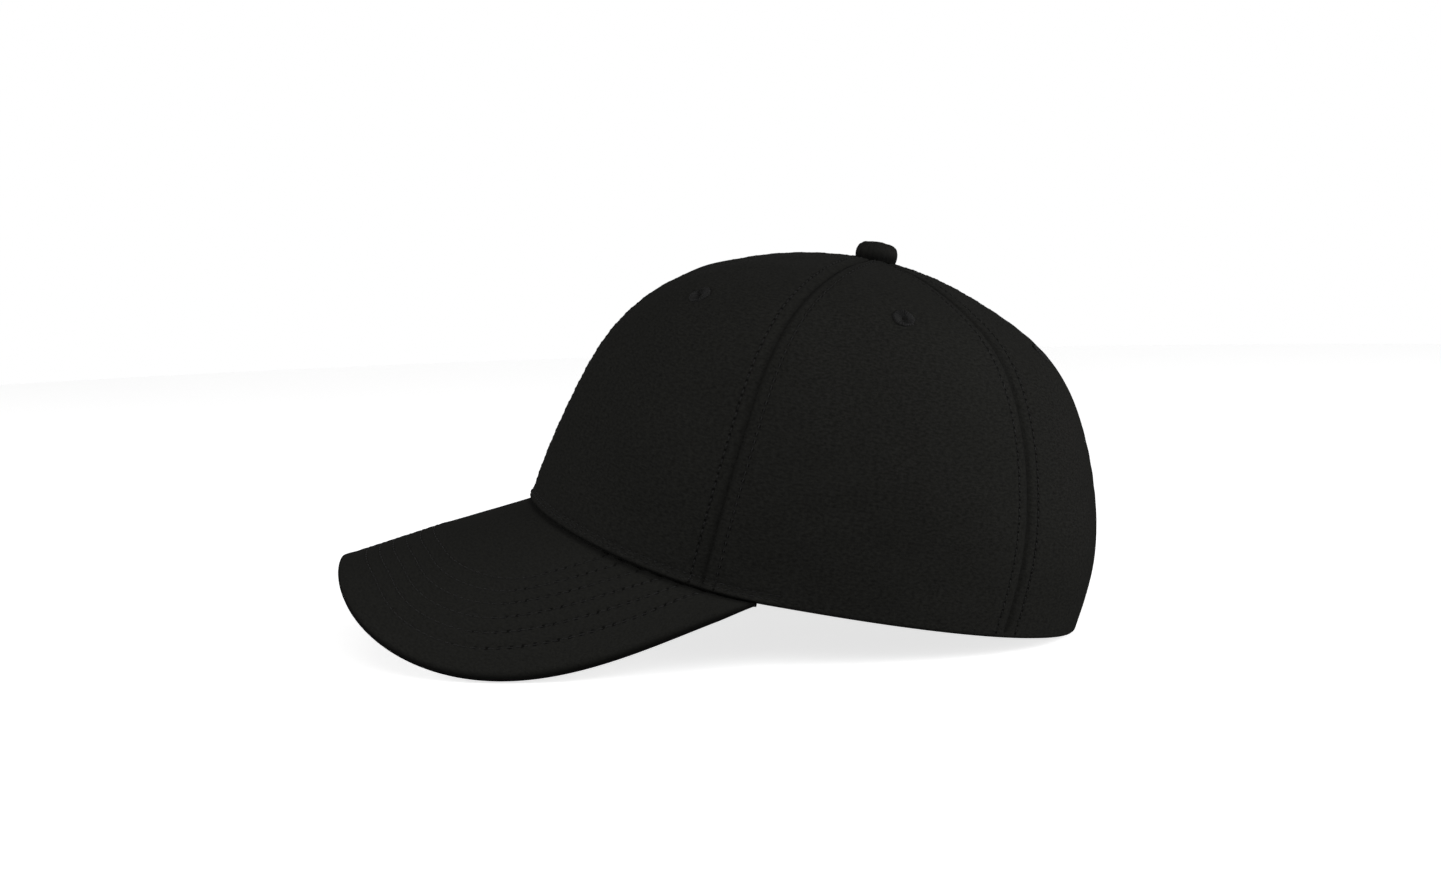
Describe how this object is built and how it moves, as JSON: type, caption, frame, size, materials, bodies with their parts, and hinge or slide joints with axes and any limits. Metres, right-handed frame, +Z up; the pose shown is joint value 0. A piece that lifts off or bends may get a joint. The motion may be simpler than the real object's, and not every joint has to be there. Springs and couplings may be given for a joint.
{
  "type": "baseball cap",
  "caption": "Structured baseball cap with a sewn panelled crown, closed back, covered top button, vent eyelets and a curved topstitched bill.",
  "frame": {"origin": "middle of the cap's footprint, on the surface that the bill's side edges and the back of the hem rest on", "axes": "+Z up, -Y towards the bill's front edge, +X towards the wearer's left; the cap's middle plane is X = 0"},
  "size_m": [0.1669, 0.2689, 0.1399],
  "materials": {
    "crown_cloth": "near-black wool-blend twill, matte",
    "bill_cloth": "near-black wool-blend twill, matte, topstitched",
    "bill_under_cloth": "near-black plain weave, matte",
    "bill_board": "moulded polyethylene board",
    "buckram": "stiff open-weave buckram",
    "seam_tape": "woven binding tape",
    "sweatband_cloth": "elastic twill sweatband",
    "foam": "soft forehead padding",
    "hem_tape": "woven binding tape",
    "label_cloth": "satin label tape, blank",
    "button_cloth": "near-black twill, stretched",
    "button_metal": "stamped tinplate",
    "thread": "polyester sewing thread"
  },
  "bodies": {
    "root": {"back_left_panel": "crown_cloth", "back_right_panel": "crown_cloth", "bill_board": "bill_board", "bill_top_cover": "bill_cloth", "bill_under_cover": "bill_under_cloth", "button_cover": "button_cloth", "button_prong": "button_metal", "button_shell": "button_metal", "button_washer": "button_metal", "care_label": "label_cloth", "eyelet_back_left": "thread", "eyelet_back_right": "thread", "eyelet_front_left": "thread", "eyelet_front_right": "thread", "eyelet_side_left": "thread", "eyelet_side_right": "thread", "front_left_buckram": "buckram", "front_left_panel": "crown_cloth", "front_right_buckram": "buckram", "front_right_panel": "crown_cloth", "hem_tape": "hem_tape", "seam_tape_back_centre": "seam_tape", "seam_tape_back_left": "seam_tape", "seam_tape_back_right": "seam_tape", "seam_tape_front_centre": "seam_tape", "seam_tape_front_left": "seam_tape", "seam_tape_front_right": "seam_tape", "side_left_panel": "crown_cloth", "side_right_panel": "crown_cloth", "size_label": "label_cloth", "sweatband": "sweatband_cloth", "sweatband_foam": "foam"}
  },
  "joints": []
}
